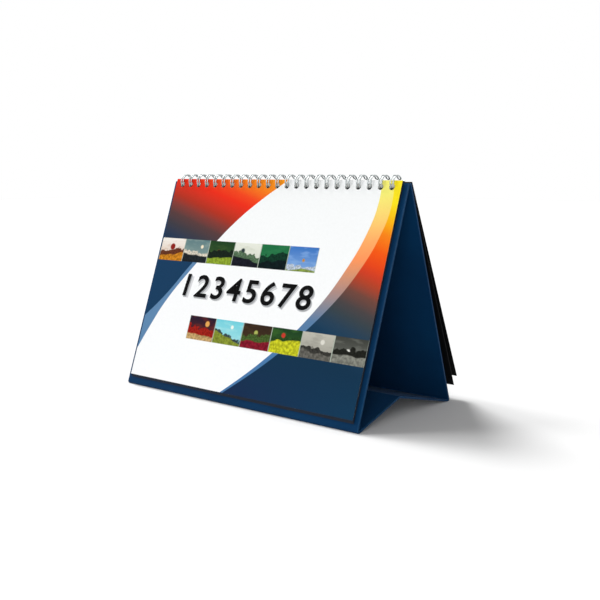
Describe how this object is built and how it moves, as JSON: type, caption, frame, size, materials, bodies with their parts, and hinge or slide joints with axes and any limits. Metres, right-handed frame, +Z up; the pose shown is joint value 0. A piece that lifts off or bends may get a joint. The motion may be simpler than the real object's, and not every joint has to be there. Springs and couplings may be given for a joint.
{
  "type": "desk calendar",
  "caption": "Wire-bound tent calendar: printed leaves on a twin-loop wire at the top of a folded card easel that stands on a desk.",
  "frame": {"origin": "middle of the underside of the whole object's box, on the surface that it stands on", "axes": "+X along the binding, to the right as seen from the front; +Y towards the back; +Z up"},
  "size_m": [0.207, 0.1134, 0.1506],
  "materials": {
    "easel_board": "matt laminated navy board",
    "binding_wire": "bright silver wire",
    "cover_print": "satin printed cover: white sweep, warm and navy colour fields",
    "leaf_paper": "uncoated white leaves",
    "dark_leaf": "black card leaves"
  },
  "bodies": {
    "easel": {"stand": "easel_board", "wire_binding": "binding_wire"},
    "leaves": {"month_leaves": "leaf_paper"},
    "cover": {"front_cover": "cover_print"},
    "inner_back": {"rear_leaf_inner": "dark_leaf"},
    "outer_back": {"rear_leaf_outer": "dark_leaf"}
  },
  "joints": [
    {"name": "leaves_turn", "type": "hinge", "parent": "easel", "child": "leaves", "pos_m": [0, -0.00463, 0.14538], "axis": [-1, 0, 0], "range_deg": [0, 35]},
    {"name": "cover_turn", "type": "hinge", "parent": "leaves", "child": "cover", "pos_m": [0, -0.00463, 0.14538], "axis": [-1, 0, 0], "range_deg": [0, 105]},
    {"name": "inner_back_lift", "type": "hinge", "parent": "easel", "child": "inner_back", "pos_m": [0, -0.00463, 0.14538], "axis": [1, 0, 0], "range_deg": [0, 8]},
    {"name": "outer_back_lift", "type": "hinge", "parent": "inner_back", "child": "outer_back", "pos_m": [0, -0.00463, 0.14538], "axis": [1, 0, 0], "range_deg": [0, 12]}
  ]
}
